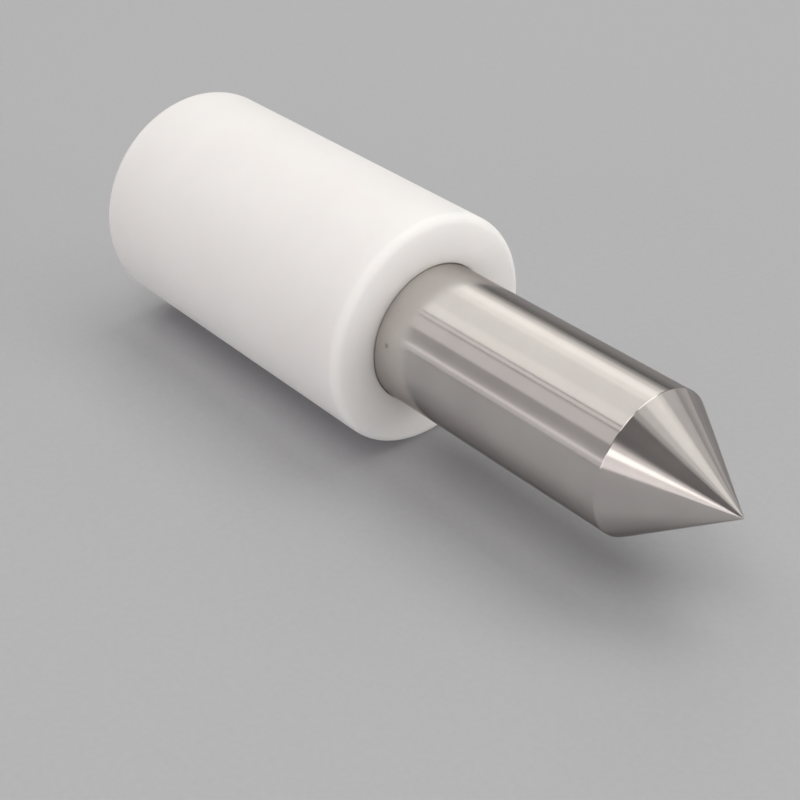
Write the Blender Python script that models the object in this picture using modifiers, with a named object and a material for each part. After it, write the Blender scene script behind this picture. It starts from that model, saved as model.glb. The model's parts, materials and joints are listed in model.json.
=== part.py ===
"""A live centre for a lathe tailstock: a pointed steel spindle that turns in a white plastic housing.

The spindle axis is the world X axis. X = 0 is the rear seat, which rests against the tailstock, and the
point is at the far +X end. Every piece is drawn about its own Z axis, with +Z towards the point, under an
empty that turns Z onto world X.
"""

import math

import bmesh
import bpy
from mathutils import Matrix, Vector

MM = 0.001

# Driving dimensions.
SPINDLE_R = 12.5 * MM  # the bare steel in front of the housing
POINT_ANGLE = math.radians(71)  # included angle of the point
NOSE_LENGTH = 49.5 * MM  # parallel steel between the housing and the point
BODY_R = 21 * MM
BODY_LENGTH = 69 * MM
BODY_FRONT_ROUND = 1.6 * MM
BODY_REAR_ROUND = 2 * MM
JOURNAL_R = 8.5 * MM  # 17 mm shaft for all three bearings
BEARING_R = 15 * MM  # 30 mm outside diameter
BEARING_WIDTH = 7 * MM
THRUST_HEIGHT = 9 * MM
PITCH_R = (JOURNAL_R + BEARING_R) / 2  # circle that the balls' centres lie on
THREAD_R = 6 * MM  # the M12 mounting stud

# Clearances between neighbouring solids.
FIT = 0.1 * MM  # radial, between pieces that sit in one another
GAP = 0.2 * MM  # axial, between pieces that rest on one another
RUNNING_GAP = 0.3 * MM  # radial, from the shields and the thrust cage to what turns inside them
NOSE_GAP = 0.15 * MM  # radial, between the nose and the hole that it turns in

# Radial ball bearings, 17 x 30 x 7.
BALL_R = 2 * MM
BALLS = 10
GROOVE_R = BALL_R + GAP
INNER_LAND_R = PITCH_R - 1.55 * MM
OUTER_LAND_R = PITCH_R + 1.35 * MM
SHIELD_SEAT_R = OUTER_LAND_R + 0.45 * MM
SHIELD_THICKNESS = 0.35 * MM
SHIELD_INSET = 0.2 * MM
CAGE_HALF_WIDTH = 2.65 * MM
CAGE_HALF_DEPTH = 1.05 * MM

# Thrust ball bearing, 17 x 30 x 9.
THRUST_BALL_R = 2.38 * MM
THRUST_BALLS = 12
THRUST_WASHER = 2.5 * MM
THRUST_CAGE_HALF = 1.5 * MM

# Stations along the axis, from the rear seat towards the point.
SEAT_PROUD = 0.5 * MM  # the plug stands this far out of the housing, so it takes the load
REAR_FACE = SEAT_PROUD
FRONT_FACE = REAR_FACE + BODY_LENGTH
WALL_BACK = FRONT_FACE - 7 * MM
NOSE_BACK = WALL_BACK + 1.1 * MM
POINT_BASE = FRONT_FACE + NOSE_LENGTH
TIP = POINT_BASE + SPINDLE_R / math.tan(POINT_ANGLE / 2)
FRONT_BEARING = WALL_BACK - GAP - BEARING_WIDTH / 2  # each bearing's station is its middle
CLIP_THICKNESS = 1.2 * MM
FRONT_CLIP = FRONT_BEARING - BEARING_WIDTH / 2 - GAP - CLIP_THICKNESS / 2
SPACER_FRONT = FRONT_BEARING - BEARING_WIDTH / 2 - GAP
SPACER_BACK = SPACER_FRONT - 8 * MM
THRUST = SPACER_BACK - GAP - THRUST_HEIGHT / 2
SPACER_RING_FRONT = THRUST - THRUST_HEIGHT / 2 - GAP
SPACER_RING_BACK = SPACER_RING_FRONT - 2 * MM
REAR_BEARING = SPACER_RING_BACK - GAP - BEARING_WIDTH / 2
PLUG_FRONT = REAR_BEARING - BEARING_WIDTH / 2 - GAP
SPRING_MIDDLE = PLUG_FRONT - 0.7 * MM
SHAFT_CLIP_THICKNESS = 1 * MM
SHAFT_CLIP = SPRING_MIDDLE - 1.3 * MM
SPINDLE_END = SHAFT_CLIP - 2 * MM

# The rear plug and what holds it.
PLUG_THREAD_R = 16.5 * MM
PLUG_THREAD_LENGTH = 10 * MM
PLUG_HOLLOW_R = 12.8 * MM
PLUG_WEB_FRONT = SPINDLE_END - 2 * MM
STUD_HOLE_R = 5.2 * MM  # tapping size of the M12 thread
STUD_HOLE_DEPTH = 17 * MM
PIN_HOLE_R = 2 * MM
PIN_CIRCLE_R = 10.5 * MM
PIN_HOLE_DEPTH = 4.5 * MM
LOCK_SCREW_R = 1.4 * MM
LOCK_SCREW_LENGTH = 6 * MM
LOCK_HOLE_R = LOCK_SCREW_R + GAP
LOCK_HOLE_DEPTH = LOCK_SCREW_LENGTH + 1 * MM

# Rubber rings.
FRONT_SEAL_CORD_R = 0.9 * MM
FRONT_SEAL_X = FRONT_FACE - 2.9 * MM
FRONT_SEAL_GROOVE_R = SPINDLE_R + 2 * FRONT_SEAL_CORD_R + 2 * GAP
PLUG_SEAL_CORD_R = 0.7 * MM
PLUG_SEAL_X = PLUG_THREAD_LENGTH + 5 * MM
PLUG_SEAL_GROOVE_R = BEARING_R - 2 * PLUG_SEAL_CORD_R - GAP

BODY_SEGMENTS = 48
RING_SEGMENTS = 32
FINE_SEGMENTS = 12  # small holes, screws and cords
SHARP_EDGE = math.radians(35)

PALETTE = {  # colour, roughness, metallic
    "white_acetal": ((0.86, 0.85, 0.84), 0.45, 0.0),
    "polished_stainless": ((0.62, 0.60, 0.58), 0.25, 1.0),
    "bearing_steel": ((0.70, 0.70, 0.72), 0.15, 1.0),
    "nylon_cage": ((0.72, 0.66, 0.52), 0.5, 0.0),
    "spring_steel": ((0.16, 0.16, 0.17), 0.4, 1.0),
    "turned_aluminium": ((0.74, 0.75, 0.76), 0.3, 1.0),
    "nitrile_rubber": ((0.02, 0.02, 0.02), 0.7, 0.0),
}


def clear_scene():
    for obj in list(bpy.data.objects):
        bpy.data.objects.remove(obj, do_unlink=True)


def make_material(name):
    colour, roughness, metallic = PALETTE[name]
    material = bpy.data.materials.new(name)
    material.use_nodes = True
    shader = material.node_tree.nodes["Principled BSDF"]
    shader.inputs["Base Color"].default_value = (*colour, 1)
    shader.inputs["Roughness"].default_value = roughness
    shader.inputs["Metallic"].default_value = metallic
    return material


def make_collection(name, parent):
    collection = bpy.data.collections.new(name)
    parent.children.link(collection)
    return collection


def axis_empty(name):
    """An empty whose Z axis lies along world X, for the pieces that turn together."""
    empty = bpy.data.objects.new(name, None)
    empty.rotation_euler = (0, math.pi / 2, 0)
    empty.empty_display_size = 0.01
    PARTS.objects.link(empty)
    return empty


def add_part(name, data, material, parent):
    obj = bpy.data.objects.new(name, data)
    data.materials.clear()
    data.materials.append(MATERIALS[material])
    PARTS.objects.link(obj)
    obj.parent = parent
    return obj


def arc(centre_r, centre_z, radius, start, end, steps):
    """Points of an arc in the (radius, axial) plane, angles in degrees from the radial direction."""
    angles = [math.radians(start + (end - start) * i / steps) for i in range(steps + 1)]
    return [(centre_r + radius * math.cos(a), centre_z + radius * math.sin(a)) for a in angles]


def turned(name, profile, material, parent, segments=RING_SEGMENTS, closed=True):
    """A body of revolution. The profile runs outwards at the front, down its outer side and back inside."""
    mesh = bpy.data.meshes.new(name)
    count = len(profile)
    edges = [(i, (i + 1) % count) for i in range(count if closed else count - 1)]
    mesh.from_pydata([(r, 0, z) for r, z in profile], edges, [])
    obj = add_part(name, mesh, material, parent)
    screw = obj.modifiers.new("Turn", "SCREW")
    screw.steps = segments
    screw.render_steps = segments
    screw.use_merge_vertices = True
    screw.merge_threshold = 0.00001
    return settle(obj)


def settle(obj):
    """Replaces the object's modifiers by their result, shaded smooth with crisp edges."""
    bpy.context.view_layer.update()
    graph = bpy.context.evaluated_depsgraph_get()
    mesh = bpy.data.meshes.new_from_object(obj.evaluated_get(graph))
    mesh.name = obj.name
    obj.modifiers.clear()
    obj.data = mesh
    mesh.shade_smooth()
    mesh.set_sharp_from_angle(angle=SHARP_EDGE)
    return obj


def torus_profile(centre_r, centre_z, cord_r):
    return arc(centre_r, centre_z, cord_r, 90, -270 + 360 / 8, 7)


def cylinder_mesh(name, radius, depth, segments):
    mesh = bpy.data.meshes.new(name)
    form = bmesh.new()
    bmesh.ops.create_cone(form, cap_ends=True, segments=segments, radius1=radius, radius2=radius, depth=depth)
    form.to_mesh(mesh)
    form.free()
    return mesh


def add_cutters(name, radius, depth, segments, places, parent):
    """A collection of equal cylinders, one at each place, to be cut from a part."""
    collection = make_collection(name, CUTTERS)
    mesh = cylinder_mesh(name, radius, depth, segments)
    for place in places:
        cutter = bpy.data.objects.new(name, mesh)
        cutter.parent = parent
        cutter.matrix_local = place
        cutter.hide_render = True
        cutter.display_type = "WIRE"
        collection.objects.link(cutter)
    return collection


def cut(obj, cutters):
    boolean = obj.modifiers.new("Cut", "BOOLEAN")
    boolean.operation = "DIFFERENCE"
    boolean.operand_type = "COLLECTION"
    boolean.collection = cutters


def ring_places(count, radius, z, phase=0.0):
    """Points evenly spaced on a circle about the axis."""
    angles = [phase + 2 * math.pi * i / count for i in range(count)]
    return [Vector((radius * math.cos(a), radius * math.sin(a), z)) for a in angles]


def radial_pocket(point):
    """A matrix at a point of the ball circle, whose Z axis points away from the spindle axis."""
    outward = Vector((point.x, point.y, 0))
    return Matrix.Translation(point) @ outward.to_track_quat("Z", "Y").to_matrix().to_4x4()


def add_balls(name, radius, points, parent):
    mesh = bpy.data.meshes.new(name)
    form = bmesh.new()
    bmesh.ops.create_uvsphere(form, u_segments=10, v_segments=6, radius=radius)
    form.to_mesh(mesh)
    form.free()
    mesh.shade_smooth()
    for number, point in enumerate(points, 1):
        ball = add_part(f"{name}_{number:02d}", mesh, "bearing_steel", parent)
        ball.location = point


def make_housing(parent):
    hole_r = SPINDLE_R + NOSE_GAP
    bore_r = BEARING_R + FIT
    thread_r = PLUG_THREAD_R + FIT
    thread_end = PLUG_THREAD_LENGTH + GAP
    chamfer = 0.5 * MM
    clip_groove_r = bore_r + 0.8 * MM
    clip_half = CLIP_THICKNESS / 2 + GAP / 2
    seal_half = FRONT_SEAL_CORD_R + GAP
    outside = (
        arc(BODY_R - BODY_FRONT_ROUND, FRONT_FACE - BODY_FRONT_ROUND, BODY_FRONT_ROUND, 90, 0, 4)
        + arc(BODY_R - BODY_REAR_ROUND, REAR_FACE + BODY_REAR_ROUND, BODY_REAR_ROUND, 0, -90, 4)
    )
    thread = [(thread_r + chamfer, REAR_FACE), (thread_r, REAR_FACE + chamfer), (thread_r, thread_end)]
    bore = [
        (bore_r, thread_end),
        (bore_r, FRONT_CLIP - clip_half),
        (clip_groove_r, FRONT_CLIP - clip_half),
        (clip_groove_r, FRONT_CLIP + clip_half),
        (bore_r, FRONT_CLIP + clip_half),
        (bore_r, WALL_BACK),
    ]
    front_hole = [
        (hole_r, WALL_BACK),
        (hole_r, FRONT_SEAL_X - seal_half),
        (FRONT_SEAL_GROOVE_R, FRONT_SEAL_X - seal_half),
        (FRONT_SEAL_GROOVE_R, FRONT_SEAL_X + seal_half),
        (hole_r, FRONT_SEAL_X + seal_half),
        (hole_r, FRONT_FACE),
    ]
    profile = outside + thread + bore + front_hole
    return turned("housing", profile, "white_acetal", parent, BODY_SEGMENTS)


def make_spindle(parent):
    groove_half = SHAFT_CLIP_THICKNESS / 2 + GAP / 2
    groove_r = JOURNAL_R - 0.4 * MM
    chamfer = 0.5 * MM
    profile = [
        (0, TIP),
        (SPINDLE_R, POINT_BASE),
        (SPINDLE_R, NOSE_BACK),
        (INNER_LAND_R, NOSE_BACK),
        (INNER_LAND_R, WALL_BACK),
        (JOURNAL_R, WALL_BACK),
        (JOURNAL_R, SHAFT_CLIP + groove_half),
        (groove_r, SHAFT_CLIP + groove_half),
        (groove_r, SHAFT_CLIP - groove_half),
        (JOURNAL_R, SHAFT_CLIP - groove_half),
        (JOURNAL_R, SPINDLE_END + chamfer),
        (JOURNAL_R - chamfer, SPINDLE_END),
        (0, SPINDLE_END),
    ]
    turned("spindle", profile, "polished_stainless", parent, BODY_SEGMENTS, closed=False)


def make_rubber_rings(parent):
    front_r = SPINDLE_R + FRONT_SEAL_CORD_R + GAP
    plug_r = BEARING_R - PLUG_SEAL_CORD_R
    front = torus_profile(front_r, FRONT_SEAL_X, FRONT_SEAL_CORD_R)
    rear = torus_profile(plug_r, PLUG_SEAL_X, PLUG_SEAL_CORD_R)
    turned("front_seal_ring", front, "nitrile_rubber", parent)
    turned("plug_seal_ring", rear, "nitrile_rubber", parent)


def make_outer_ring(name, middle, parent):
    half = BEARING_WIDTH / 2
    seat = half - SHIELD_INSET - SHIELD_THICKNESS - GAP
    reach = math.degrees(math.acos((OUTER_LAND_R - PITCH_R) / GROOVE_R))
    inside = (
        [(SHIELD_SEAT_R, middle - half), (SHIELD_SEAT_R, middle - seat), (OUTER_LAND_R, middle - seat)]
        + arc(PITCH_R, middle, GROOVE_R, -reach, reach, 4)
        + [(OUTER_LAND_R, middle + seat), (SHIELD_SEAT_R, middle + seat), (SHIELD_SEAT_R, middle + half)]
    )
    outside = [(BEARING_R, middle + half), (BEARING_R, middle - half)]
    turned(name, outside + inside, "bearing_steel", parent)


def make_inner_ring(name, middle, parent):
    half = BEARING_WIDTH / 2
    reach = math.degrees(math.acos((PITCH_R - INNER_LAND_R) / GROOVE_R))
    bore_r = JOURNAL_R + FIT
    profile = (
        [(bore_r, middle + half), (INNER_LAND_R, middle + half)]
        + arc(PITCH_R, middle, GROOVE_R, 180 - reach, 180 + reach, 4)
        + [(INNER_LAND_R, middle - half), (bore_r, middle - half)]
    )
    turned(name, profile, "bearing_steel", parent)


def make_shield(name, middle, parent):
    inner_r = INNER_LAND_R + RUNNING_GAP
    outer_r = SHIELD_SEAT_R - GAP
    half = SHIELD_THICKNESS / 2
    profile = rectangle(inner_r, outer_r, middle - half, middle + half)
    turned(name, profile, "bearing_steel", parent)


def rectangle(inner_r, outer_r, back, front):
    return [(inner_r, front), (outer_r, front), (outer_r, back), (inner_r, back)]


def make_radial_bearing(name, middle, housing_axis, spindle_axis, cage_axis):
    """Rings, shields, cage and balls of one 17 x 30 x 7 bearing."""
    make_outer_ring(f"{name}_outer_ring", middle, housing_axis)
    make_inner_ring(f"{name}_inner_ring", middle, spindle_axis)
    shield = BEARING_WIDTH / 2 - SHIELD_INSET - SHIELD_THICKNESS / 2
    make_shield(f"{name}_front_shield", middle + shield, housing_axis)
    make_shield(f"{name}_rear_shield", middle - shield, housing_axis)
    points = ring_places(BALLS, PITCH_R, middle)
    band = rectangle(
        PITCH_R - CAGE_HALF_DEPTH, PITCH_R + CAGE_HALF_DEPTH, middle - CAGE_HALF_WIDTH, middle + CAGE_HALF_WIDTH
    )
    cage = turned(f"{name}_cage", band, "nylon_cage", cage_axis)
    places = [radial_pocket(point) for point in points]
    cut(cage, add_cutters(f"{name}_pockets", GROOVE_R, 4 * CAGE_HALF_DEPTH, FINE_SEGMENTS, places, cage_axis))
    add_balls(f"{name}_ball", BALL_R, points, cage_axis)


def washer_profile(middle, side, inner_r, outer_r):
    """A thrust washer on the front (+1) or rear (-1) side of the balls, with its raceway facing them."""
    race = middle + side * (THRUST_HEIGHT / 2 - THRUST_WASHER)
    back = middle + side * THRUST_HEIGHT / 2
    groove_r = THRUST_BALL_R + GAP
    reach = math.degrees(math.acos((THRUST_HEIGHT / 2 - THRUST_WASHER) / groove_r))
    if side > 0:
        groove = arc(PITCH_R, middle, groove_r, 90 - reach, 90 + reach, 4)
        return [(inner_r, back), (outer_r, back), (outer_r, race), *groove, (inner_r, race)]
    groove = arc(PITCH_R, middle, groove_r, -90 - reach, -90 + reach, 4)
    return [(inner_r, race), *groove, (outer_r, race), (outer_r, back), (inner_r, back)]


def make_thrust_bearing(housing_axis, spindle_axis, cage_axis):
    """Washers, cage and balls of the 17 x 30 x 9 bearing that takes the push of the work."""
    bore_r = JOURNAL_R + FIT
    shaft = washer_profile(THRUST, 1, bore_r, BEARING_R - 2 * GAP)
    seat = washer_profile(THRUST, -1, bore_r + 2 * GAP, BEARING_R)
    turned("thrust_shaft_washer", shaft, "bearing_steel", spindle_axis)
    turned("thrust_housing_washer", seat, "bearing_steel", housing_axis)
    points = ring_places(THRUST_BALLS, PITCH_R, THRUST)
    band = rectangle(bore_r + RUNNING_GAP, BEARING_R - 2 * GAP, THRUST - THRUST_CAGE_HALF, THRUST + THRUST_CAGE_HALF)
    cage = turned("thrust_cage", band, "nylon_cage", cage_axis)
    places = [Matrix.Translation(point) for point in points]
    radius = THRUST_BALL_R + GAP
    cut(cage, add_cutters("thrust_pockets", radius, 4 * THRUST_CAGE_HALF, FINE_SEGMENTS, places, cage_axis))
    add_balls("thrust_ball", THRUST_BALL_R, points, cage_axis)


def make_spacers(housing_axis, spindle_axis):
    sleeve = rectangle(JOURNAL_R + FIT, INNER_LAND_R, SPACER_BACK, SPACER_FRONT)
    ring = rectangle(OUTER_LAND_R, BEARING_R, SPACER_RING_BACK, SPACER_RING_FRONT)
    turned("spacer_sleeve", sleeve, "spring_steel", spindle_axis)
    turned("spacer_ring", ring, "spring_steel", housing_axis)


def make_wave_spring(parent):
    """A flat ring bent into three waves, which takes up the end play of the bearings."""
    waves = 3
    height = 0.35 * MM
    half = 0.15 * MM
    flat = rectangle(JOURNAL_R + GAP, INNER_LAND_R, SPRING_MIDDLE - half, SPRING_MIDDLE + half)
    spring = turned("wave_spring", flat, "spring_steel", parent)
    for vertex in spring.data.vertices:
        vertex.co.z += height * math.cos(waves * math.atan2(vertex.co.y, vertex.co.x))


def circle_outline(centre, radius, steps):
    angles = [2 * math.pi * i / steps for i in range(steps)]
    return [(centre[0] + radius * math.cos(a), centre[1] + radius * math.sin(a)) for a in angles]


def clip_outlines(groove_r, band_r, lug_r, gap, lug):
    """A retaining ring, open at angle 0: its working edge, its band with a lug at each end, and two holes."""
    steps = 36

    def on_circle(radius, angle):
        return (radius * math.cos(angle), radius * math.sin(angle))

    def sweep(radius, start, end, count):
        return [on_circle(radius, start + (end - start) * i / count) for i in range(count + 1)]

    full = 2 * math.pi
    band = (
        sweep(lug_r, gap, gap + lug, 3)
        + sweep(band_r, gap + 1.3 * lug, full - gap - 1.3 * lug, steps)
        + sweep(lug_r, full - gap - lug, full - gap, 3)
    )
    edge = sweep(groove_r, full - gap, gap, steps)
    middle_r = (groove_r + lug_r) / 2
    holes = [circle_outline(on_circle(middle_r, side * (gap + lug / 2)), 0.7 * MM, 8) for side in (1, -1)]
    return [band + edge, *holes]


def flat_plate(name, outlines, thickness, middle, material, parent):
    curve = bpy.data.curves.new(name, "CURVE")
    curve.dimensions = "2D"
    curve.fill_mode = "BOTH"
    curve.extrude = thickness / 2
    for outline in outlines:
        spline = curve.splines.new("POLY")
        spline.points.add(len(outline) - 1)
        for point, (x, y) in zip(spline.points, outline):
            point.co = (x, y, 0, 1)
        spline.use_cyclic_u = True
    plate = add_part(name, curve, material, parent)
    plate.location.z = middle


def make_retaining_rings(housing_axis, spindle_axis):
    groove_r = BEARING_R + 0.7 * MM
    inside = clip_outlines(groove_r, BEARING_R - 1.9 * MM, BEARING_R - 3.8 * MM, math.radians(12), math.radians(14))
    flat_plate("bearing_clip", inside, CLIP_THICKNESS, FRONT_CLIP, "spring_steel", housing_axis)
    shaft_r = JOURNAL_R - 0.3 * MM
    outside = clip_outlines(shaft_r, shaft_r + 1.7 * MM, shaft_r + 3.2 * MM, math.radians(14), math.radians(20))
    flat_plate("spindle_clip", outside, SHAFT_CLIP_THICKNESS, SHAFT_CLIP, "spring_steel", spindle_axis)


def make_rear_plug(parent, lock_holes):
    chamfer = 0.5 * MM
    seal_half = PLUG_SEAL_CORD_R + GAP
    profile = [
        (PLUG_HOLLOW_R, PLUG_FRONT),
        (BEARING_R, PLUG_FRONT),
        (BEARING_R, PLUG_SEAL_X + seal_half),
        (PLUG_SEAL_GROOVE_R, PLUG_SEAL_X + seal_half),
        (PLUG_SEAL_GROOVE_R, PLUG_SEAL_X - seal_half),
        (BEARING_R, PLUG_SEAL_X - seal_half),
        (BEARING_R, PLUG_THREAD_LENGTH),
        (PLUG_THREAD_R, PLUG_THREAD_LENGTH),
        (PLUG_THREAD_R, chamfer),
        (PLUG_THREAD_R - chamfer, 0),
        (STUD_HOLE_R + 2 * chamfer, 0),
        (STUD_HOLE_R, 2 * chamfer),
        (STUD_HOLE_R, STUD_HOLE_DEPTH),
        (0, STUD_HOLE_DEPTH + STUD_HOLE_R * math.tan(math.radians(31))),
    ]
    hollow = [(0, PLUG_WEB_FRONT), (PLUG_HOLLOW_R, PLUG_WEB_FRONT)]
    plug = turned("rear_plug", hollow + profile, "turned_aluminium", parent, BODY_SEGMENTS, closed=False)
    pins = [Matrix.Translation(point) for point in ring_places(2, PIN_CIRCLE_R, 0)]
    cut(plug, add_cutters("pin_holes", PIN_HOLE_R, 2 * PIN_HOLE_DEPTH, 2 * FINE_SEGMENTS, pins, parent))
    cut(plug, lock_holes)


def make_lock_screws(points, parent):
    """Grub screws along the joint of plug and housing, which keep the plug from turning out."""
    socket_depth = 2 * MM
    chamfer = 0.3 * MM
    back = REAR_FACE + GAP
    front = back + LOCK_SCREW_LENGTH
    profile = [
        (0, front),
        (LOCK_SCREW_R - chamfer, front),
        (LOCK_SCREW_R, front - chamfer),
        (LOCK_SCREW_R, back + chamfer),
        (LOCK_SCREW_R - chamfer, back),
        (0, back),
    ]
    for number, point in enumerate(points, 1):
        screw = turned(f"lock_screw_{number}", profile, "spring_steel", parent, FINE_SEGMENTS, closed=False)
        screw.location = point
        socket = Matrix.Translation(point + Vector((0, 0, back)))
        cut(screw, add_cutters(f"hex_socket_{number}", 0.87 * MM, 2 * socket_depth, 6, [socket], parent))


def make_live_centre():
    housing_axis = axis_empty("housing_axis")
    spindle_axis = axis_empty("spindle_axis")
    housing = make_housing(housing_axis)
    make_spindle(spindle_axis)
    make_rubber_rings(housing_axis)
    for name, middle in (("front_bearing", FRONT_BEARING), ("rear_bearing", REAR_BEARING)):
        make_radial_bearing(name, middle, housing_axis, spindle_axis, axis_empty(f"{name}_cage_axis"))
    make_thrust_bearing(housing_axis, spindle_axis, axis_empty("thrust_cage_axis"))
    make_spacers(housing_axis, spindle_axis)
    make_wave_spring(spindle_axis)
    make_retaining_rings(housing_axis, spindle_axis)
    lock_points = ring_places(2, PLUG_THREAD_R, 0, phase=math.pi / 2)
    lock_places = [Matrix.Translation(point) for point in lock_points]
    lock_holes = add_cutters(
        "lock_holes", LOCK_HOLE_R, 2 * (REAR_FACE + LOCK_HOLE_DEPTH), FINE_SEGMENTS, lock_places, housing_axis
    )
    cut(housing, lock_holes)
    make_rear_plug(housing_axis, lock_holes)
    make_lock_screws(lock_points, housing_axis)


clear_scene()
PARTS = make_collection("live_center", bpy.context.scene.collection)
CUTTERS = make_collection("cutters", bpy.context.scene.collection)
MATERIALS = {name: make_material(name) for name in PALETTE}
make_live_centre()
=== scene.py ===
"""Looks for the live centre: a white plastic housing with a polished, pointed steel spindle.

The spindle axis is world X and the point is at the far +X end. All lengths are in metres.
"""

import json
import math

import bmesh
import bpy
from mathutils import Matrix, Vector


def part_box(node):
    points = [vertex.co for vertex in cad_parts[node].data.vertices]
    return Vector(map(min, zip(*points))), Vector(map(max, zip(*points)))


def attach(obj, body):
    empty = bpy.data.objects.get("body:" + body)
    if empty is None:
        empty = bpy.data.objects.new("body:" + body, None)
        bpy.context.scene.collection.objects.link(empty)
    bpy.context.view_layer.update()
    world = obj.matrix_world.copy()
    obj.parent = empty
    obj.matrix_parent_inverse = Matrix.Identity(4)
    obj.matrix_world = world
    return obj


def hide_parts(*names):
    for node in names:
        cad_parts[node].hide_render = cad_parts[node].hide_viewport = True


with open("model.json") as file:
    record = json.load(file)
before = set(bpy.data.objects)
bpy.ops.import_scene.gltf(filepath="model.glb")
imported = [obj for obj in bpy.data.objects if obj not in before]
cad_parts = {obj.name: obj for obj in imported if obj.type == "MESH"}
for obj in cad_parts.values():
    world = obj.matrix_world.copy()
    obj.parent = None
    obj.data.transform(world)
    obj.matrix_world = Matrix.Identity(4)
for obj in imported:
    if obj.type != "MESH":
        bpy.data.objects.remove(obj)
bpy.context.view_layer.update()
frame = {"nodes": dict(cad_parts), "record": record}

MM = 0.001
TURN = 2 * math.pi

# Mesh detail.
BODY_SEGMENTS = 192  # round the housing, the spindle and the plug
RING_SEGMENTS = 96  # round the bearings' rings, the spacers and the rubber rings
SMALL_SEGMENTS = 48  # round balls, screws, pockets and spanner holes
LOCK_SEGMENTS = 32  # round the holes that the lock screws sit in
ARC_STEPS = 16  # along the section of a ball race
SHARP_EDGE = math.radians(32)
WELD = 0.001 * MM  # points closer than this are merged

# Camera, fitted to the object's outline in the photograph.
CAMERA_PLACE = Vector((0.23787, -0.15225, 0.13927))
CAMERA_AZIMUTH = math.radians(49.193)
CAMERA_ELEVATION = math.radians(34.0)
CAMERA_LENS = 70.75  # mm
CAMERA_SENSOR = 36  # mm
TARGET = Vector((0.075, 0, 0))  # what the studio's lights are placed round

# Radii and places along the axis, from the frame.
HOUSING_LOW, HOUSING_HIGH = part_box("housing")
SPINDLE_LOW, SPINDLE_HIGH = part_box("spindle")
PLUG_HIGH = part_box("rear_plug")[1]
REAR_FACE = HOUSING_LOW.x
FRONT_FACE = HOUSING_HIGH.x
BODY_R = HOUSING_HIGH.y
SPINDLE_R = SPINDLE_HIGH.y
TIP = SPINDLE_HIGH.x
THREAD_R = PLUG_HIGH.y
BEARING_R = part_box("front_bearing_outer_ring")[1].y

# What the frame's boxes don't tell.
POINT_SLOPE = math.radians(71) / 2  # between the cone's side and the axis
POINT_BASE = TIP - SPINDLE_R / math.tan(POINT_SLOPE)
FRONT_WALL = FRONT_FACE - 7 * MM  # inner side of the wall that the bar comes out of
THREAD_LENGTH = 10 * MM
LOCK_HOLE_R = 1.6 * MM
LOCK_HOLE_DEPTH = 7.5 * MM
JOURNAL_R = 8.5 * MM
RING_BORE_R = JOURNAL_R + 0.1 * MM  # of everything that sits on the journal
PITCH_R = (JOURNAL_R + BEARING_R) / 2  # of the circles of balls
RACE_LAND = 1.35 * MM  # from the pitch circle out to the outer ring's land
RING_CHAMFER = 0.3 * MM
GAP = 0.2 * MM  # round the balls, and beside seals, shields and the plug's thread

# The one dark spot on the steel.
PIT_ANGLE = math.radians(74)  # round the bar from straight up
PIT = (FRONT_FACE + 2.6 * MM, -SPINDLE_R * math.sin(PIT_ANGLE), SPINDLE_R * math.cos(PIT_ANGLE))


# Shader nodes.


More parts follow.
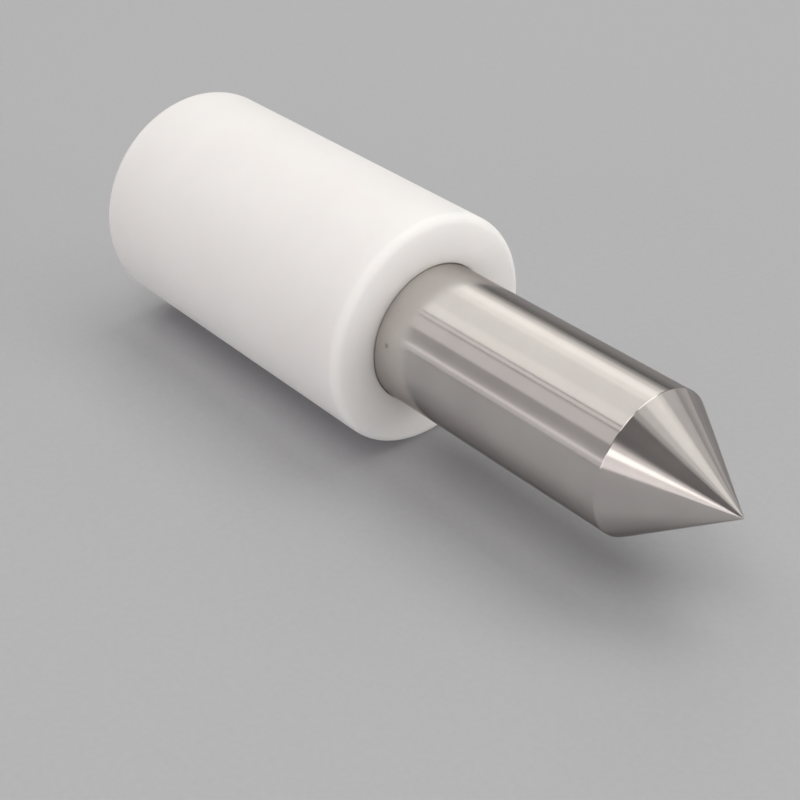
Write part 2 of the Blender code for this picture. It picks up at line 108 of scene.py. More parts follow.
class Shader:
    """A material whose nodes are added by short calls. Its patterns are measured in metres."""

    def __init__(self, name):
        self.material = bpy.data.materials.new(name)
        self.material.use_nodes = True
        self.tree = self.material.node_tree
        self.principled = self.tree.nodes["Principled BSDF"]
        self.place = self.add("ShaderNodeTexCoord").outputs["Object"]

    def add(self, kind, **settings):
        node = self.tree.nodes.new(kind)
        for key, value in settings.items():
            setattr(node, key, value)
        return node

    def link(self, source, target):
        self.tree.links.new(source, target)

    def drive(self, name, source):
        """Links an output to the input of this name on the principled shader."""
        self.link(source, self.principled.inputs[name])

    def set(self, **values):
        """Sets inputs of the principled shader to plain values."""
        for key, value in values.items():
            self.principled.inputs[key.replace("_", " ")].default_value = value

    def feed(self, target, value):
        """Links an output to a socket, or sets the socket to a plain value."""
        if isinstance(value, bpy.types.NodeSocket):
            self.link(value, target)
        else:
            target.default_value = value

    def stretch(self, x, y, z):
        """The object's coordinates, multiplied along each axis."""
        node = self.add("ShaderNodeMapping")
        node.inputs["Scale"].default_value = (x, y, z)
        self.link(self.place, node.inputs["Vector"])
        return node.outputs["Vector"]

    def noise(self, vector, scale=1.0, detail=2.0, roughness=0.5):
        node = self.add("ShaderNodeTexNoise")
        node.inputs["Scale"].default_value = scale
        node.inputs["Detail"].default_value = detail
        node.inputs["Roughness"].default_value = roughness
        self.link(vector, node.inputs["Vector"])
        return node.outputs["Fac"]

    def math(self, operation, a, b=0.0):
        node = self.add("ShaderNodeMath", operation=operation)
        for socket, value in zip(node.inputs, (a, b)):
            self.feed(socket, value)
        return node.outputs[0]

    def span(self, value, low, high, to_low=0.0, to_high=1.0):
        """Value carried smoothly from one range to another, and held at its ends."""
        node = self.add("ShaderNodeMapRange", interpolation_type="SMOOTHSTEP")
        for socket, number in zip(node.inputs, (value, low, high, to_low, to_high)):
            self.feed(socket, number)
        return node.outputs[0]

    def mix(self, factor, a, b):
        node = self.add("ShaderNodeMix", data_type="RGBA")
        self.feed(node.inputs["Factor"], factor)
        self.feed(node.inputs[6], a)
        self.feed(node.inputs[7], b)
        return node.outputs[2]

    def bump(self, height, distance, normal=None):
        node = self.add("ShaderNodeBump")
        node.inputs["Strength"].default_value = 1
        node.inputs["Distance"].default_value = distance
        self.link(height, node.inputs["Height"])
        if normal is not None:
            self.link(normal, node.inputs["Normal"])
        return node.outputs["Normal"]

    def tool_marks(self, pitch):
        """Even waves along the axis and across the faces, as a turning tool leaves them."""
        split = self.add("ShaderNodeSeparateXYZ")
        self.link(self.place, split.inputs[0])
        x, y, z = split.outputs
        squares = [self.math("MULTIPLY", part, part) for part in (y, z)]
        radius = self.math("SQRT", self.math("ADD", *squares))
        waves = self.math("MULTIPLY", self.math("ADD", x, radius), TURN / pitch)
        return self.math("SINE", waves)

    def round_tangent(self, amount):
        """Stretches highlights across fine grooves that run round the spindle's axis."""
        tangent = self.add("ShaderNodeTangent", direction_type="RADIAL", axis="X")
        self.drive("Tangent", tangent.outputs[0])
        self.set(Anisotropic=amount, Anisotropic_Rotation=0.25)


def white_acetal():
    """White plastic that scatters light under a satin skin, with faint specks and tool marks."""
    s = Shader("white_acetal")
    cloud = s.span(s.noise(s.place, scale=55, detail=3), 0.35, 0.65)
    tone = s.mix(cloud, (0.885, 0.868, 0.862, 1), (0.905, 0.892, 0.887, 1))
    specks = s.span(s.noise(s.place, scale=2600, detail=1), 0.74, 0.8, 0, 0.25)
    s.drive("Base Color", s.mix(specks, tone, (0.72, 0.68, 0.64, 1)))
    s.set(Subsurface_Weight=0.8, Subsurface_Radius=(0.85, 0.93, 1.0), Subsurface_Scale=5 * MM)
    s.set(IOR=1.48)
    s.drive("Roughness", s.span(s.noise(s.place, scale=300, detail=3), 0.3, 0.7, 0.42, 0.58))
    feed = s.noise(s.stretch(5000, 25, 25), detail=2)
    marks = s.math("ADD", s.math("MULTIPLY", s.tool_marks(0.18 * MM), 0.15), feed)
    ripple = s.noise(s.place, scale=180, detail=4)
    s.drive("Normal", s.bump(ripple, 0.03 * MM, s.bump(marks, 0.004 * MM)))
    return s.material


def polished_stainless():
    """Polished steel with fine grain round its axis, uneven polish and one dark pit."""
    s = Shader("polished_stainless")
    grain = s.noise(s.stretch(7000, 30, 30), detail=3, roughness=0.6)
    cloud = s.noise(s.place, scale=120, detail=3)
    tone = s.mix(s.span(cloud, 0.3, 0.7), (0.56, 0.53, 0.515, 1), (0.595, 0.57, 0.55, 1))
    away = s.add("ShaderNodeVectorMath", operation="DISTANCE")
    s.link(s.place, away.inputs[0])
    away.inputs[1].default_value = PIT
    ragged = s.math("ADD", away.outputs["Value"], s.math("MULTIPLY", cloud, 0.2 * MM))
    pit = s.span(ragged, 0.3 * MM, 0.75 * MM, 0.5, 0)
    s.drive("Base Color", s.mix(pit, tone, (0.2, 0.13, 0.12, 1)))
    haze = s.span(cloud, 0.35, 0.65, 0.13, 0.16)
    s.drive("Roughness", s.math("ADD", s.span(grain, 0.3, 0.7, 0, 0.03), haze))
    s.set(Metallic=1, Specular_Tint=(0.6, 0.58, 0.57, 1))
    s.round_tangent(0.7)
    waviness = s.noise(s.stretch(250, 90, 90), detail=2)
    s.drive("Normal", s.bump(waviness, 0.004 * MM, s.bump(grain, 0.0006 * MM)))
    return s.material


def turned_metal(name, colour, roughness, pitch, depth):
    """Bare turned metal with even tool marks along the axis and across its faces."""
    s = Shader(name)
    cloud = s.noise(s.place, scale=160, detail=3)
    dull = tuple(channel * 0.9 for channel in colour[:3]) + (1,)
    s.drive("Base Color", s.mix(s.span(cloud, 0.3, 0.7), dull, colour))
    s.drive("Roughness", s.span(cloud, 0.3, 0.7, roughness, roughness + 0.08))
    s.set(Metallic=1)
    s.round_tangent(0.5)
    marks = s.math("ADD", s.tool_marks(pitch), s.noise(s.stretch(4000, 30, 30)))
    s.drive("Normal", s.bump(marks, depth))
    return s.material


def black_oxide():
    """Black spring steel, worn to grey in places."""
    s = Shader("black_oxide")
    wear = s.span(s.noise(s.place, scale=900, detail=4), 0.58, 0.7)
    s.drive("Base Color", s.mix(wear, (0.03, 0.03, 0.032, 1), (0.16, 0.155, 0.15, 1)))
    s.drive("Roughness", s.span(wear, 0, 1, 0.45, 0.3))
    s.set(Metallic=0.8)
    s.drive("Normal", s.bump(s.noise(s.place, scale=4000, detail=2), 0.004 * MM))
    return s.material


def moulded(name, dark, light, roughness, grain, depth):
    """A moulded material, such as a nylon cage or a rubber ring, with a fine matt grain."""
    s = Shader(name)
    cloud = s.span(s.noise(s.place, scale=240, detail=3), 0.3, 0.7)
    s.drive("Base Color", s.mix(cloud, dark, light))
    texture = s.noise(s.place, scale=grain, detail=3)
    s.drive("Roughness", s.span(texture, 0.3, 0.7, roughness - 0.05, roughness + 0.08))
    s.drive("Normal", s.bump(texture, depth))
    return s.material


def floor_paper():
    s = Shader("floor_paper")
    fibre = s.noise(s.place, scale=900, detail=4)
    s.drive("Base Color", s.mix(fibre, (0.425, 0.43, 0.45, 1), (0.465, 0.47, 0.49, 1)))
    s.set(Roughness=0.75)
    s.drive("Normal", s.bump(fibre, 0.02 * MM))
    return s.material


def card_stock():
    s = Shader("dark_card")
    s.set(Base_Color=(0.4, 0.385, 0.385, 1), Roughness=0.9)
    return s.material


# For turned metals: colour, roughness, pitch and depth of the tool marks.
# For moulded ones: dark and light tone, roughness, size of the grain and its depth.
ALUMINIUM = ((0.72, 0.73, 0.74, 1), 0.26, 0.22 * MM, 0.006 * MM)
RING_STEEL = ((0.68, 0.68, 0.69, 1), 0.14, 0.09 * MM, 0.001 * MM)
BALL_STEEL = ((0.74, 0.74, 0.75, 1), 0.05, 0.05 * MM, 0.0001 * MM)
NITRILE = ((0.012, 0.012, 0.012, 1), (0.025, 0.025, 0.025, 1), 0.6, 3000, 0.01 * MM)
NYLON = ((0.66, 0.6, 0.46, 1), (0.76, 0.7, 0.56, 1), 0.45, 1800, 0.008 * MM)
MATERIALS = {  # by slot
    "housing": white_acetal(),
    "spindle": polished_stainless(),
    "plug": turned_metal("turned_aluminium", *ALUMINIUM),
    "rubber": moulded("nitrile_rubber", *NITRILE),
    "bearing_steel": turned_metal("ground_bearing_steel", *RING_STEEL),
    "balls": turned_metal("lapped_ball_steel", *BALL_STEEL),
    "cage": moulded("nylon_cage", *NYLON),
    "spring_steel": black_oxide(),
}


# Meshes.


def arc(centre_r, centre_x, radius, start, end, steps):
    """Points (radius, x) of an arc. Its angles are in degrees from straight outwards."""
    angles = [math.radians(start + (end - start) * i / steps) for i in range(steps + 1)]
    return [(centre_r + radius * math.cos(a), centre_x + radius * math.sin(a)) for a in angles]


def add_piece(name, mesh, body, slot, *nodes):
    """Shows a mesh in place of CAD nodes, riding on their body, in the finish of their slot."""
    mesh.materials.clear()
    mesh.materials.append(MATERIALS[slot])
    piece = bpy.data.objects.new(name, mesh)
    bpy.context.scene.collection.objects.link(piece)
    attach(piece, body)
    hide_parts(*nodes)


def stand_in(node, mesh):
    """A finer mesh in place of one CAD node, on the same body and in the same finish."""
    bodies = frame["record"]["behaviour"]["bodies"]
    body = next(name for name, members in bodies.items() if node in members)
    add_piece(f"{node}_form", mesh, body, slot_of(node), node)


def slot_of(node):
    parts = frame["record"]["subparts"]
    return next(part["material_slot"] for part in parts if part["node"] == node)


def middle_of(node):
    low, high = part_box(node)
    return (low + high) / 2


def turned_mesh(name, profile, segments=RING_SEGMENTS, closed=True):
    """A body of revolution about X.

    The profile's points (radius, x) run outwards across the front, back along the outer side and
    forwards again inside. An open profile starts and ends on the axis.
    """
    mesh = bpy.data.meshes.new(name)
    count = len(profile)
    edges = [(i, (i + 1) % count) for i in range(count if closed else count - 1)]
    mesh.from_pydata([(r, 0, x) for r, x in profile], edges, [])
    obj = bpy.data.objects.new(name, mesh)
    bpy.context.scene.collection.objects.link(obj)
    screw = obj.modifiers.new("Turn", "SCREW")
    screw.steps = segments
    screw.render_steps = segments
    screw.use_merge_vertices = True
    screw.merge_threshold = WELD
    result = applied(obj)
    result.transform(Matrix.Rotation(math.pi / 2, 4, "Y"))
    return shaded(result)


def applied(obj):
    """The mesh that an object's modifiers give. The object itself is removed."""
    bpy.context.view_layer.update()
    graph = bpy.context.evaluated_depsgraph_get()
    mesh = bpy.data.meshes.new_from_object(obj.evaluated_get(graph))
    bpy.data.objects.remove(obj)
    return mesh


def shaded(mesh, angle=SHARP_EDGE):
    """Smooth shading in which large faces stay true next to small rounded edges."""
    stale = mesh.attributes.get("custom_normal")
    if stale:
        mesh.attributes.remove(stale)
    mesh.shade_smooth()
    mesh.set_sharp_from_angle(angle=angle)
    obj = bpy.data.objects.new("shaded", mesh)
    bpy.context.scene.collection.objects.link(obj)
    normals = obj.modifiers.new("Normals", "WEIGHTED_NORMAL")
    normals.keep_sharp = True
    return applied(obj)


def cut(mesh, radius, reach, segments, places):
    """The mesh with equal cylinders cut from it, reaching to both sides of each place."""
    cylinder = {"segments": segments, "radius1": radius, "radius2": radius, "depth": 2 * reach}
    form = bmesh.new()
    for place in places:
        bmesh.ops.create_cone(form, cap_ends=True, matrix=place, **cylinder)
    tool_mesh = bpy.data.meshes.new("tool")
    form.to_mesh(tool_mesh)
    form.free()
    tool = bpy.data.objects.new("tool", tool_mesh)
    blank = bpy.data.objects.new("blank", mesh)
    for obj in (tool, blank):
        bpy.context.scene.collection.objects.link(obj)
    boolean = blank.modifiers.new("Cut", "BOOLEAN")
    boolean.operation = "DIFFERENCE"
    boolean.object = tool
    result = applied(blank)
    bpy.data.objects.remove(tool)
    form = bmesh.new()
    form.from_mesh(result)
    bmesh.ops.remove_doubles(form, verts=form.verts, dist=WELD)
    form.to_mesh(result)
    form.free()
    return shaded(result)


def rectangle(inner_r, outer_r, back, front, chamfer):
    """A ring's section with equal chamfers on its four corners."""
    return [
        (inner_r + chamfer, front),
        (outer_r - chamfer, front),
        (outer_r, front - chamfer),
        (outer_r, back + chamfer),
        (outer_r - chamfer, back),
        (inner_r + chamfer, back),
        (inner_r, back + chamfer),
        (inner_r, front - chamfer),
    ]


def along_x(x, y=0.0, z=0.0):
    """The place of a cylinder that lies along X."""
    return Matrix.Translation((x, y, z)) @ Matrix.Rotation(math.pi / 2, 4, "Y")


def with_lock_holes(mesh):
    """The mesh with its halves of the two holes that lie across the housing's thread."""
    places = [along_x(0, side * THREAD_R) for side in (1, -1)]
    return cut(mesh, LOCK_HOLE_R, LOCK_HOLE_DEPTH, LOCK_SEGMENTS, places)


def make_housing():
    """The plastic cylinder. Inside are the front hole, the bearings' bore and the plug's thread."""
    hole_r = SPINDLE_R + 0.1 * MM
    hole_round = 0.1 * MM
    bore_r = BEARING_R + 0.1 * MM
    thread_r = THREAD_R + 0.1 * MM
    thread_chamfer = 0.5 * MM
    thread_end = THREAD_LENGTH + GAP
    front_round = 1.6 * MM
    rear_round = 2 * MM
    clip = middle_of("bearing_clip").x
    clip_back, clip_front = clip - 0.7 * MM, clip + 0.7 * MM
    clip_r = bore_r + 0.8 * MM
    seal = middle_of("front_seal_ring").x
    seal_back, seal_front = seal - 1.1 * MM, seal + 1.1 * MM
    seal_r = hole_r + 1.9 * MM
    profile = [
        *arc(BODY_R - front_round, FRONT_FACE - front_round, front_round, 90, 0, 14),
        *arc(BODY_R - rear_round, REAR_FACE + rear_round, rear_round, 0, -90, 14),
        (thread_r + thread_chamfer, REAR_FACE),
        (thread_r, REAR_FACE + thread_chamfer),
        (thread_r, thread_end),
        (bore_r, thread_end),
        (bore_r, clip_back),
        (clip_r, clip_back),
        (clip_r, clip_front),
        (bore_r, clip_front),
        (bore_r, FRONT_WALL),
        (hole_r, FRONT_WALL),
        (hole_r, seal_back),
        (seal_r, seal_back),
        (seal_r, seal_front),
        (hole_r, seal_front),
        *arc(hole_r + hole_round, FRONT_FACE - hole_round, hole_round, 180, 90, 4),
    ]
    mesh = with_lock_holes(turned_mesh("housing_shell", profile, BODY_SEGMENTS))
    add_piece("housing_shell", mesh, "housing", "housing", "housing")


def make_spindle():
    """The bar with its cone, and the journal behind it. The point and the rim are blunted."""
    blunt = 0.12 * MM
    edge = 0.05 * MM
    shoulder = FRONT_WALL + 1.1 * MM
    shoulder_chamfer = 0.3 * MM
    shoulder_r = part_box("spacer_sleeve")[1].y
    clip = middle_of("spindle_clip").x
    clip_back, clip_front = clip - 0.6 * MM, clip + 0.6 * MM
    clip_r = JOURNAL_R - 0.4 * MM
    end_chamfer = 0.5 * MM

    point = arc(0, TIP - blunt, blunt, 90, math.degrees(POINT_SLOPE), 6)
    point[0] = (0, TIP)
    side_start = point[-1][0]
    side_top = TIP - blunt + blunt / math.sin(POINT_SLOPE)
    side = [side_start + (SPINDLE_R - side_start) * share for share in (0.15, 0.4, 0.7)]
    profile = [
        *point,
        *((r, side_top - r / math.tan(POINT_SLOPE)) for r in side),
        (SPINDLE_R - edge, POINT_BASE + edge / math.tan(POINT_SLOPE)),
        (SPINDLE_R, POINT_BASE - edge),
        (SPINDLE_R, POINT_BASE - 20 * MM),
        (SPINDLE_R, shoulder + shoulder_chamfer),
        (SPINDLE_R - shoulder_chamfer, shoulder),
        (shoulder_r, shoulder),
        (shoulder_r, FRONT_WALL),
        (JOURNAL_R, FRONT_WALL),
        (JOURNAL_R, clip_front),
        (clip_r, clip_front),
        (clip_r, clip_back),
        (JOURNAL_R, clip_back),
        (JOURNAL_R, SPINDLE_LOW.x + end_chamfer),
        (JOURNAL_R - end_chamfer, SPINDLE_LOW.x),
        (0, SPINDLE_LOW.x),
    ]
    mesh = turned_mesh("spindle_bar", profile, BODY_SEGMENTS, closed=False)
    add_piece("spindle_bar", mesh, "spindle", "spindle", "spindle")


def make_thread(major_r, minor_r, pitch, start, turns):
    """The helical ridge of an inside thread, round X."""
    root, crest = 0.45 * pitch, 0.12 * pitch
    ridge = [(major_r, -root), (minor_r, -crest), (minor_r, crest), (major_r, root)]
    edges = [(i, (i + 1) % len(ridge)) for i in range(len(ridge))]
    mesh = bpy.data.meshes.new("thread")
    mesh.from_pydata([(r, 0, start + x) for r, x in ridge], edges, [])
    obj = bpy.data.objects.new("thread", mesh)
    bpy.context.scene.collection.objects.link(obj)
    screw = obj.modifiers.new("Helix", "SCREW")
    screw.steps = RING_SEGMENTS
    screw.render_steps = RING_SEGMENTS
    screw.screw_offset = pitch
    screw.iterations = turns
    result = applied(obj)
    form = bmesh.new()
    form.from_mesh(result)
    open_ends = [edge for edge in form.edges if edge.is_boundary]
    bmesh.ops.holes_fill(form, edges=open_ends, sides=len(ridge))
    bmesh.ops.recalc_face_normals(form, faces=form.faces)
    form.to_mesh(result)
    form.free()
    result.transform(Matrix.Rotation(math.pi / 2, 4, "Y"))
    return result


def joined(*meshes):
    form = bmesh.new()
    for mesh in meshes:
        form.from_mesh(mesh)
    result = bpy.data.meshes.new("joined")
    form.to_mesh(result)
    form.free()
    return shaded(result)


def make_rear_plug():
    """The screwed plug, with a blind M12 hole, spanner holes and a hollow towards the bearings."""
    front = PLUG_HIGH.x
    chamfer = 0.5 * MM
    edge = 0.15 * MM
    hole_r = 6.05 * MM
    hole_depth = 17 * MM
    drill_slope = math.radians(31)
    hollow_r = 12.8 * MM
    web = hole_depth + 5.1 * MM
    seal_low, seal_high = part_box("plug_seal_ring")
    seal_back, seal_front = seal_low.x - GAP, seal_high.x + GAP
    seal_r = seal_high.y - (seal_high.x - seal_low.x) - GAP
    profile = [
        (0, web),
        (hollow_r, web),
        (hollow_r, front),
        (BEARING_R - edge, front),
        (BEARING_R, front - edge),
        (BEARING_R, seal_front),
        (seal_r, seal_front),
        (seal_r, seal_back),
        (BEARING_R, seal_back),
        (BEARING_R, THREAD_LENGTH),
        (THREAD_R - edge, THREAD_LENGTH),
        (THREAD_R, THREAD_LENGTH - edge),
        (THREAD_R, chamfer),
        (THREAD_R - 0.7 * chamfer, 0.12 * chamfer),
        (THREAD_R - chamfer, 0),
        (hole_r + 0.65 * MM, 0),
        (hole_r + 0.5 * MM, 0.06 * MM),
        (hole_r, 0.55 * MM),
        (hole_r, hole_depth),
        (0, hole_depth + hole_r * math.tan(drill_slope)),
    ]
    mesh = with_lock_holes(turned_mesh("rear_plug_turned", profile, BODY_SEGMENTS, closed=False))
    spanner_holes = [along_x(0, 0, side * 10.5 * MM) for side in (1, -1)]
    mesh = cut(mesh, 2 * MM, 4.5 * MM, SMALL_SEGMENTS, spanner_holes)
    thread = make_thread(hole_r + 0.05 * MM, 5.15 * MM, 1.75 * MM, 1.5 * MM, 8)
    add_piece("rear_plug_turned", joined(mesh, thread), "housing", "plug", "rear_plug")


def make_lock_screws():
    """Grub screws with a hex socket at the rear and a cup edge at the front."""
    chamfer = 0.3 * MM
    for number in (1, 2):
        low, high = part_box(f"lock_screw_{number}")
        radius = (high.y - low.y) / 2
        profile = [
            (0, high.x - 0.5 * MM),
            (0.55 * radius, high.x),
            (radius - chamfer, high.x),
            (radius, high.x - chamfer),
            (radius, low.x + chamfer),
            (radius - 0.22 * MM, low.x + 0.05 * MM),
            (radius - chamfer, low.x),
            (0, low.x),
        ]
        mesh = turned_mesh("grub_screw", profile, SMALL_SEGMENTS, closed=False)
        mesh = cut(mesh, 0.8 * MM, 2 * MM, 6, [along_x(low.x)])
        mesh.transform(Matrix.Translation((0, (low.y + high.y) / 2, 0)))
        name = f"grub_screw_{number}"
        add_piece(name, mesh, "housing", "spring_steel", f"lock_screw_{number}")


def make_ring(node, profile):
    stand_in(node, turned_mesh(node, profile))


def make_band(node, inner_r, outer_r, chamfer):
    """A plain ring with the CAD node's own width."""
    low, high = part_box(node)
    make_ring(node, rectangle(inner_r, outer_r, low.x, high.x, chamfer))


def make_balls(prefix, count):
    """Makes a circle of balls. Gives their middles and radius, for the pockets of their cage."""
    nodes = [f"{prefix}_{number:02d}" for number in range(1, count + 1)]
    low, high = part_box(nodes[0])
    radius = (high.x - low.x) / 2
    half_circle = arc(0, 0, radius, 90, -90, 24)
    ball = turned_mesh("ball", half_circle, SMALL_SEGMENTS, closed=False)
    middles = [middle_of(node) for node in nodes]
    for node, middle in zip(nodes, middles):
        mesh = ball.copy()
        mesh.transform(Matrix.Translation(middle))
        stand_in(node, mesh)
    return middles, radius


def make_radial_bearing(name):
    """A shielded ball bearing: two rings with races, ten balls, two shields and a cage."""
    balls, ball_r = make_balls(f"{name}_ball", 10)
    race_r = ball_r + GAP
    shield_low, shield_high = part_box(f"{name}_front_shield")
    outer, inner = f"{name}_outer_ring", f"{name}_inner_ring"
    middle = middle_of(outer).x
    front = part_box(outer)[1].x
    back = 2 * middle - front

    land = PITCH_R + RACE_LAND
    reach = math.degrees(math.acos(RACE_LAND / race_r))
    seat_r = shield_high.y + GAP
    seat_front = shield_low.x - GAP
    seat_back = 2 * middle - seat_front
    outer_profile = [
        (BEARING_R - RING_CHAMFER, front),
        (BEARING_R, front - RING_CHAMFER),
        (BEARING_R, back + RING_CHAMFER),
        (BEARING_R - RING_CHAMFER, back),
        (seat_r, back),
        (seat_r, seat_back),
        (land, seat_back),
        *arc(PITCH_R, middle, race_r, -reach, reach, ARC_STEPS),
        (land, seat_front),
        (seat_r, seat_front),
        (seat_r, front),
    ]
    make_ring(outer, outer_profile)

    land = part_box(inner)[1].y
    reach = math.degrees(math.acos((PITCH_R - land) / race_r))
    inner_profile = [
        (land, front),
        *arc(PITCH_R, middle, race_r, 180 - reach, 180 + reach, ARC_STEPS),
        (land, back),
        (RING_BORE_R + RING_CHAMFER, back),
        (RING_BORE_R, back + RING_CHAMFER),
        (RING_BORE_R, front - RING_CHAMFER),
        (RING_BORE_R + RING_CHAMFER, front),
    ]
    make_ring(inner, inner_profile)
    for side in ("front", "rear"):
        make_band(f"{name}_{side}_shield", land + 0.3 * MM, shield_high.y, 0.08 * MM)

    cage = f"{name}_cage"
    low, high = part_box(cage)
    half_depth = high.y - PITCH_R
    band = rectangle(PITCH_R - half_depth, high.y, low.x, high.x, 0.15 * MM)
    places = []
    for ball in balls:
        outwards = Vector((0, ball.y, ball.z)).to_track_quat("Z", "X").to_matrix().to_4x4()
        places.append(Matrix.Translation(ball) @ outwards)
    pocketed = cut(turned_mesh(cage, band), race_r, 2 * half_depth, SMALL_SEGMENTS, places)
    stand_in(cage, pocketed)


def make_thrust_bearing():
    """Twelve balls in a flat cage, between a washer on the shaft and one in the housing."""
    balls, ball_r = make_balls("thrust_ball", 12)
    middle = balls[0].x
    race_r = ball_r + GAP
    washers = (
        ("thrust_shaft_washer", 1, RING_BORE_R),
        ("thrust_housing_washer", -1, RING_BORE_R + 2 * GAP),
    )
    for node, side, inner_r in washers:
        low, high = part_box(node)
        outer_r = high.y
        face, back = (low.x, high.x) if side > 0 else (high.x, low.x)
        reach = math.degrees(math.acos(abs(face - middle) / race_r))
        start, end = side * 90 - side * reach, side * 90 + side * reach
        profile = [
            (outer_r, face),
            *arc(PITCH_R, middle, race_r, start, end, ARC_STEPS),
            (inner_r, face),
            (inner_r, back - side * RING_CHAMFER),
            (inner_r + RING_CHAMFER, back),
            (outer_r - RING_CHAMFER, back),
            (outer_r, back - side * RING_CHAMFER),
        ]
        make_ring(node, profile if side > 0 else profile[::-1])
    low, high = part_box("thrust_cage")
    band = rectangle(RING_BORE_R + 0.3 * MM, high.y, low.x, high.x, 0.2 * MM)
    places = [along_x(*ball) for ball in balls]
    mesh = turned_mesh("thrust_cage", band)
    pocketed = cut(mesh, race_r, 2 * (high.x - low.x), SMALL_SEGMENTS, places)
    stand_in("thrust_cage", pocketed)


def make_rubber_ring(node):
    low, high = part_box(node)
    cord_r = (high.x - low.x) / 2
    make_ring(node, arc(high.y - cord_r, middle_of(node).x, cord_r, 360, 0, 24)[:-1])


# Studio.

PANEL_DISTANCE = 3.0
FLOOR_R = 2.7
WARM = (1.0, 0.98, 0.94)
PINK = (1.0, 0.94, 0.93)

# Long panels, which the steel mirrors. Each has its name, the two angles between which it stands
# (about the spindle's axis, from straight up towards -Y), its span along X, brightness and colour.
PANELS = (
    ("top", -54, 6, -1.2, -0.45, 1.0, WARM),
    ("top_left", 6, 24.2, -1.2, -0.45, 1.1, WARM),
    ("top_edge", -62, -54, -1.2, -0.45, 0.9, WARM),
    ("top_fade", -70, -62, -1.2, -0.45, 0.4, WARM),
    ("back_glow", -52, -37, -1.2, -0.45, 0.42, WARM),
    ("back_glow_fade", -37, -26, -1.2, -0.45, 0.2, WARM),
    ("seam", 25.8, 31.6, -1.2, -0.45, 0.9, PINK),
    ("upper_left", 33.2, 54, -1.3, -0.4, 0.72, PINK),
    ("left_haze", 54, 88, -1.3, -0.4, 0.34, PINK),
    ("low_left", 77, 81.5, -1.3, -0.4, 0.42, PINK),
    ("side", 66, 87, -0.35, 0.4, 1.7, PINK),
    ("front_strip", 59, 69, 0.5, 1.05, 1.1, WARM),
    ("front_wide", 45, 88, 0.5, 1.1, 0.92, PINK),
    ("cone_low", -68, -48, 0.08, 0.82, 0.58, WARM),
    ("cone_top", -48, -20, 0.3, 0.82, 1.0, WARM),
    ("cone_fade", -20, -6, 0.4, 0.9, 0.7, WARM),
    ("cone_end", -6, 4, 0.5, 0.9, 0.45, WARM),
    ("right_low", -88, -68, -0.2, 0.4, 0.34, PINK),
)

# Panels that light the plastic and the floor: name, direction from the object, width, height and
# brightness. At the photograph's angle the steel mirrors none of them.
FILLS = (
    ("front_fill", (0.84, 0.46, 0.24), 0.95, 0.42, 2.2),
    ("front_low", (0.97, -0.26, 0.1), 0.9, 0.18, 2.9),
    ("key", (0.02, 0.36, 0.93), 0.6, 0.6, 2.9),
    ("overhead", (0.08, -0.32, 0.95), 0.6, 0.5, 2.9),
)


def add_panel(name, place, turn, width, height, radiance, colour):
    """A soft light whose own surface has the given brightness."""
    data = bpy.data.lights.new(name, "AREA")
    data.shape = "RECTANGLE"
    data.size = width
    data.size_y = height
    data.energy = radiance * math.pi * width * height
    data.color = colour
    panel = bpy.data.objects.new(f"{name}_panel", data)
    bpy.context.scene.collection.objects.link(panel)
    panel.matrix_world = Matrix.Translation(place) @ turn
    panel.visible_camera = False


def add_long_panel(name, start, end, x_start, x_end, radiance, colour):
    """A panel whose long side lies along the spindle. Its span is in panel distances."""
    angle = math.radians((start + end) / 2)
    width = (x_end - x_start) * PANEL_DISTANCE
    height = 2 * PANEL_DISTANCE * math.tan(math.radians(end - start) / 2)
    offset = Vector(((x_start + x_end) / 2, -math.sin(angle), math.cos(angle))) * PANEL_DISTANCE
    turn = Matrix.Rotation(angle, 4, "X")
    add_panel(name, TARGET + offset, turn, width, height, radiance, colour)


def add_fill(name, direction, width, height, radiance):
    """A panel that faces the object from a given side. Its sizes are in panel distances."""
    offset = Vector(direction) * PANEL_DISTANCE
    turn = offset.to_track_quat("Z", "Y").to_matrix().to_4x4()
    width *= PANEL_DISTANCE
    height *= PANEL_DISTANCE
    add_panel(name, TARGET + offset, turn, width, height, radiance, WARM)


def make_dark_card():
    """Stands in for the dark camera and its operator, which the steel mirrors."""
    angle = math.radians(26)  # about the spindle's axis, from straight up towards -Y
    distance = 0.9
    size = (0.6, 0.62)
    mesh = bpy.data.meshes.new("dark_card")
    form = bmesh.new()
    bmesh.ops.create_grid(form, x_segments=1, y_segments=1, size=0.5)
    form.to_mesh(mesh)
    form.free()
    mesh.materials.append(card_stock())
    card = bpy.data.objects.new("dark_card", mesh)
    bpy.context.scene.collection.objects.link(card)
    place = Vector((0.85, -math.sin(angle) * distance, math.cos(angle) * distance))
    turn = (place - TARGET).to_track_quat("Z", "Y").to_matrix().to_4x4()
    card.matrix_world = Matrix.Translation(place) @ turn @ Matrix.Diagonal((*size, 1, 1))
    card.visible_camera = False
    card.visible_diffuse = False
    card.visible_shadow = False


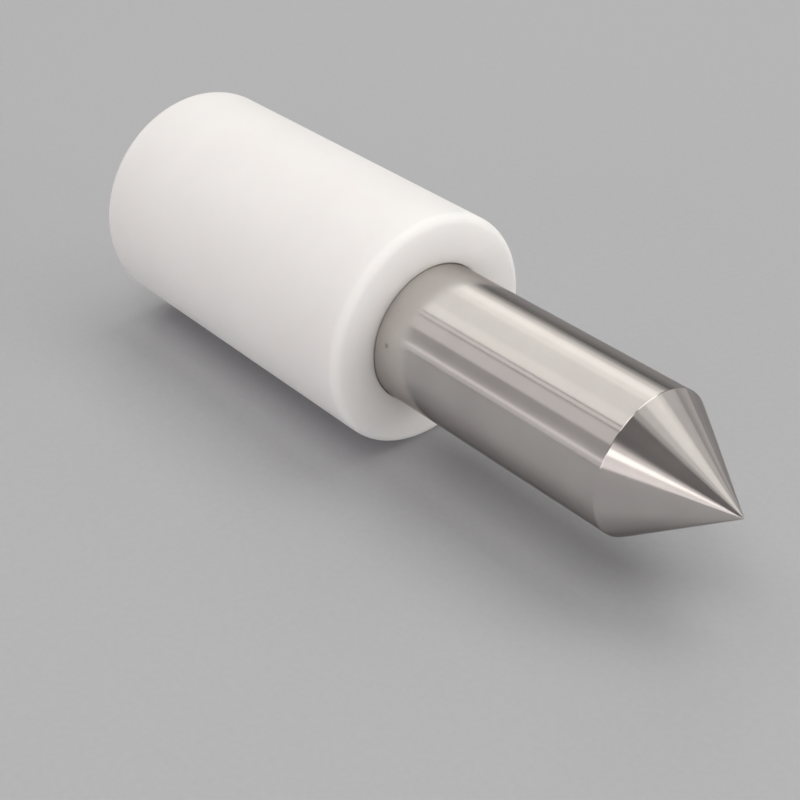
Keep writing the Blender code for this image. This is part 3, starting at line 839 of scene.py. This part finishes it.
def make_floor():
    """A disc that ends short of the low panels, which would streak it with light."""
    mesh = bpy.data.meshes.new("floor")
    form = bmesh.new()
    bmesh.ops.create_circle(form, cap_ends=True, segments=96, radius=FLOOR_R)
    bmesh.ops.translate(form, verts=form.verts, vec=(0, 0, -BODY_R))
    form.to_mesh(mesh)
    form.free()
    mesh.materials.append(floor_paper())
    floor = bpy.data.objects.new("floor", mesh)
    bpy.context.scene.collection.objects.link(floor)


def make_world():
    """Dim light from all round, brighter at the horizon."""
    world = bpy.data.worlds.new("studio")
    world.use_nodes = True
    tree = world.node_tree
    direction = tree.nodes.new("ShaderNodeTexCoord").outputs["Generated"]
    split = tree.nodes.new("ShaderNodeSeparateXYZ")
    ramp = tree.nodes.new("ShaderNodeMapRange")
    for name, value in (("From Min", 0.02), ("From Max", 0.3), ("To Min", 0.4), ("To Max", 0.12)):
        ramp.inputs[name].default_value = value
    tree.links.new(direction, split.inputs[0])
    tree.links.new(split.outputs["Z"], ramp.inputs["Value"])
    tree.links.new(ramp.outputs[0], tree.nodes["Background"].inputs["Color"])
    bpy.context.scene.world = world


def make_studio():
    make_floor()
    make_dark_card()
    for panel in PANELS:
        add_long_panel(*panel)
    for fill in FILLS:
        add_fill(*fill)
    make_world()


def make_camera():
    data = bpy.data.cameras.new("camera")
    data.lens = CAMERA_LENS
    data.sensor_width = CAMERA_SENSOR
    data.clip_start = 0.01
    data.clip_end = 50
    camera = bpy.data.objects.new("camera", data)
    bpy.context.scene.collection.objects.link(camera)
    camera.location = CAMERA_PLACE
    camera.rotation_euler = (math.pi / 2 - CAMERA_ELEVATION, 0, CAMERA_AZIMUTH)
    bpy.context.scene.camera = camera


make_housing()
make_spindle()
make_rear_plug()
make_lock_screws()
make_radial_bearing("front_bearing")
make_radial_bearing("rear_bearing")
make_thrust_bearing()
make_band("spacer_sleeve", RING_BORE_R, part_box("spacer_sleeve")[1].y, 0.25 * MM)
make_band("spacer_ring", PITCH_R + RACE_LAND, BEARING_R, 0.25 * MM)
make_rubber_ring("front_seal_ring")
make_rubber_ring("plug_seal_ring")

# The nodes that nothing replaces show as they are, so each node gets its finish.
for node, obj in frame["nodes"].items():
    obj.data.materials.clear()
    obj.data.materials.append(MATERIALS[slot_of(node)])
make_studio()
make_camera()
bpy.context.scene.view_settings.view_transform = "Standard"

bpy.context.view_layer.update()
